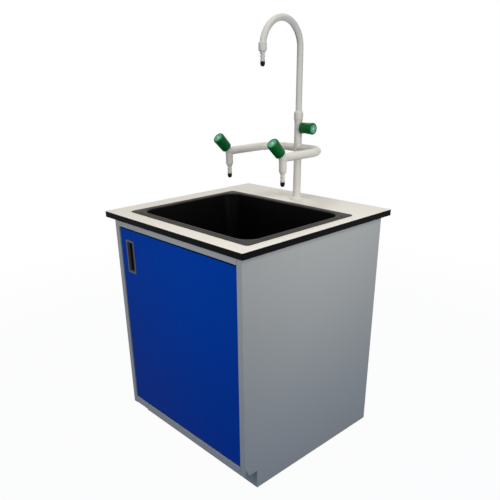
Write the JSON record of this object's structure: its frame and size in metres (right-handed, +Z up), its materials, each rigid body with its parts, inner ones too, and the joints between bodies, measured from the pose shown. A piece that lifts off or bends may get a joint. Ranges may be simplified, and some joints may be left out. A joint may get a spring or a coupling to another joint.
{
  "type": "laboratory sink unit",
  "caption": "Free-standing laboratory sink unit: folded steel cabinet with an inset door, laminate worktop, drop-in plastic sink, and a bench tap with a swivelling swan neck and side outlets.",
  "frame": {"origin": "on the floor, under the middle of the worktop", "axes": "+Z up, +Y towards the back of the unit, +X to the right of someone who faces the door"},
  "size_m": [0.71, 0.696, 1.4584],
  "materials": {
    "cabinet_grey": "satin powder coat on folded sheet steel",
    "door_blue": "gloss powder coat on folded sheet steel",
    "pull_grey": "moulded, fine grain",
    "pull_black": "moulded, dull",
    "laminate_white": "fine-textured laminate face",
    "laminate_black": "solid laminate core, machined edge",
    "sink_black": "moulded polypropylene, satin",
    "rubber_black": "dull",
    "tap_white": "gloss epoxy powder coat on brass",
    "knob_green": "moulded polypropylene, satin",
    "index_blue": "smooth, plain",
    "trap_white": "moulded polypropylene, satin",
    "steel": "zinc plated or brushed",
    "brass": "machined",
    "nylon": "moulded"
  },
  "bodies": {
    "cabinet": {"side_panel_left": "cabinet_grey", "side_panel_right": "cabinet_grey", "base_panel": "cabinet_grey", "plinth": "cabinet_grey", "back_panel": "cabinet_grey", "top_rail": "cabinet_grey", "rear_rail": "cabinet_grey", "hinge_pin_lower": "steel", "hinge_bush_upper": "nylon", "catch_magnet": "nylon", "worktop_core": "laminate_black", "worktop_face": "laminate_white", "sink_bowl": "sink_black", "sink_seal": "rubber_black", "waste_tail": "steel", "waste_nut": "trap_white", "trap_nut": "trap_white", "trap_body": "trap_white", "trap_cup": "trap_white", "trap_outlet": "trap_white", "tap_base": "tap_white", "tap_column": "tap_white", "shank_washer": "steel", "shank_nut": "brass", "swivel_nut": "tap_white", "tap_arm_left": "tap_white", "tap_arm_right": "tap_white", "outlet_valve_left": "tap_white", "outlet_valve_right": "tap_white", "headwork_left": "brass", "headwork_right": "brass", "headwork_upper": "brass", "nozzle_left": "tap_white", "nozzle_right": "tap_white", "nozzle_tip_left": "rubber_black", "nozzle_tip_right": "rubber_black"},
    "door": {"door_outer_skin": "door_blue", "door_inner_skin": "door_blue", "pull_rim": "pull_grey", "pull_cup": "pull_black", "hinge_block_upper": "steel", "hinge_block_lower": "steel", "hinge_pin_upper": "steel", "hinge_bush_lower": "nylon", "catch_strike": "steel"},
    "left_knob": {"knob_left": "knob_green", "spindle_left": "brass", "index_cap_left": "index_blue"},
    "right_knob": {"knob_right": "knob_green", "spindle_right": "brass", "index_cap_right": "index_blue"},
    "upper_knob": {"knob_upper": "knob_green", "spindle_upper": "brass", "index_cap_upper": "index_blue"},
    "swan_neck": {"gooseneck": "tap_white", "outlet_collar": "tap_white", "nozzle_neck": "tap_white", "nozzle_tip_neck": "rubber_black"}
  },
  "joints": [
    {"name": "door_hinge", "type": "hinge", "parent": "cabinet", "child": "door", "pos_m": [0.2905, -0.317, 0.45], "axis": [0, 0, 1], "range_deg": [0, 110]},
    {"name": "left_knob_turn", "type": "hinge", "parent": "cabinet", "child": "left_knob", "pos_m": [-0.13, 0.044, 1.0335], "axis": [0, -0.7071, 0.7071], "range_deg": [0, 90]},
    {"name": "right_knob_turn", "type": "hinge", "parent": "cabinet", "child": "right_knob", "pos_m": [0.13, 0.044, 1.0335], "axis": [0, -0.7071, 0.7071], "range_deg": [0, 90]},
    {"name": "upper_knob_turn", "type": "hinge", "parent": "cabinet", "child": "upper_knob", "pos_m": [0, 0.26, 1.102], "axis": [1, 0, 0], "range_deg": [0, 90]},
    {"name": "swan_neck_swivel", "type": "hinge", "parent": "cabinet", "child": "swan_neck", "pos_m": [0, 0.26, 1.14], "axis": [0, 0, 1], "continuous": true}
  ]
}
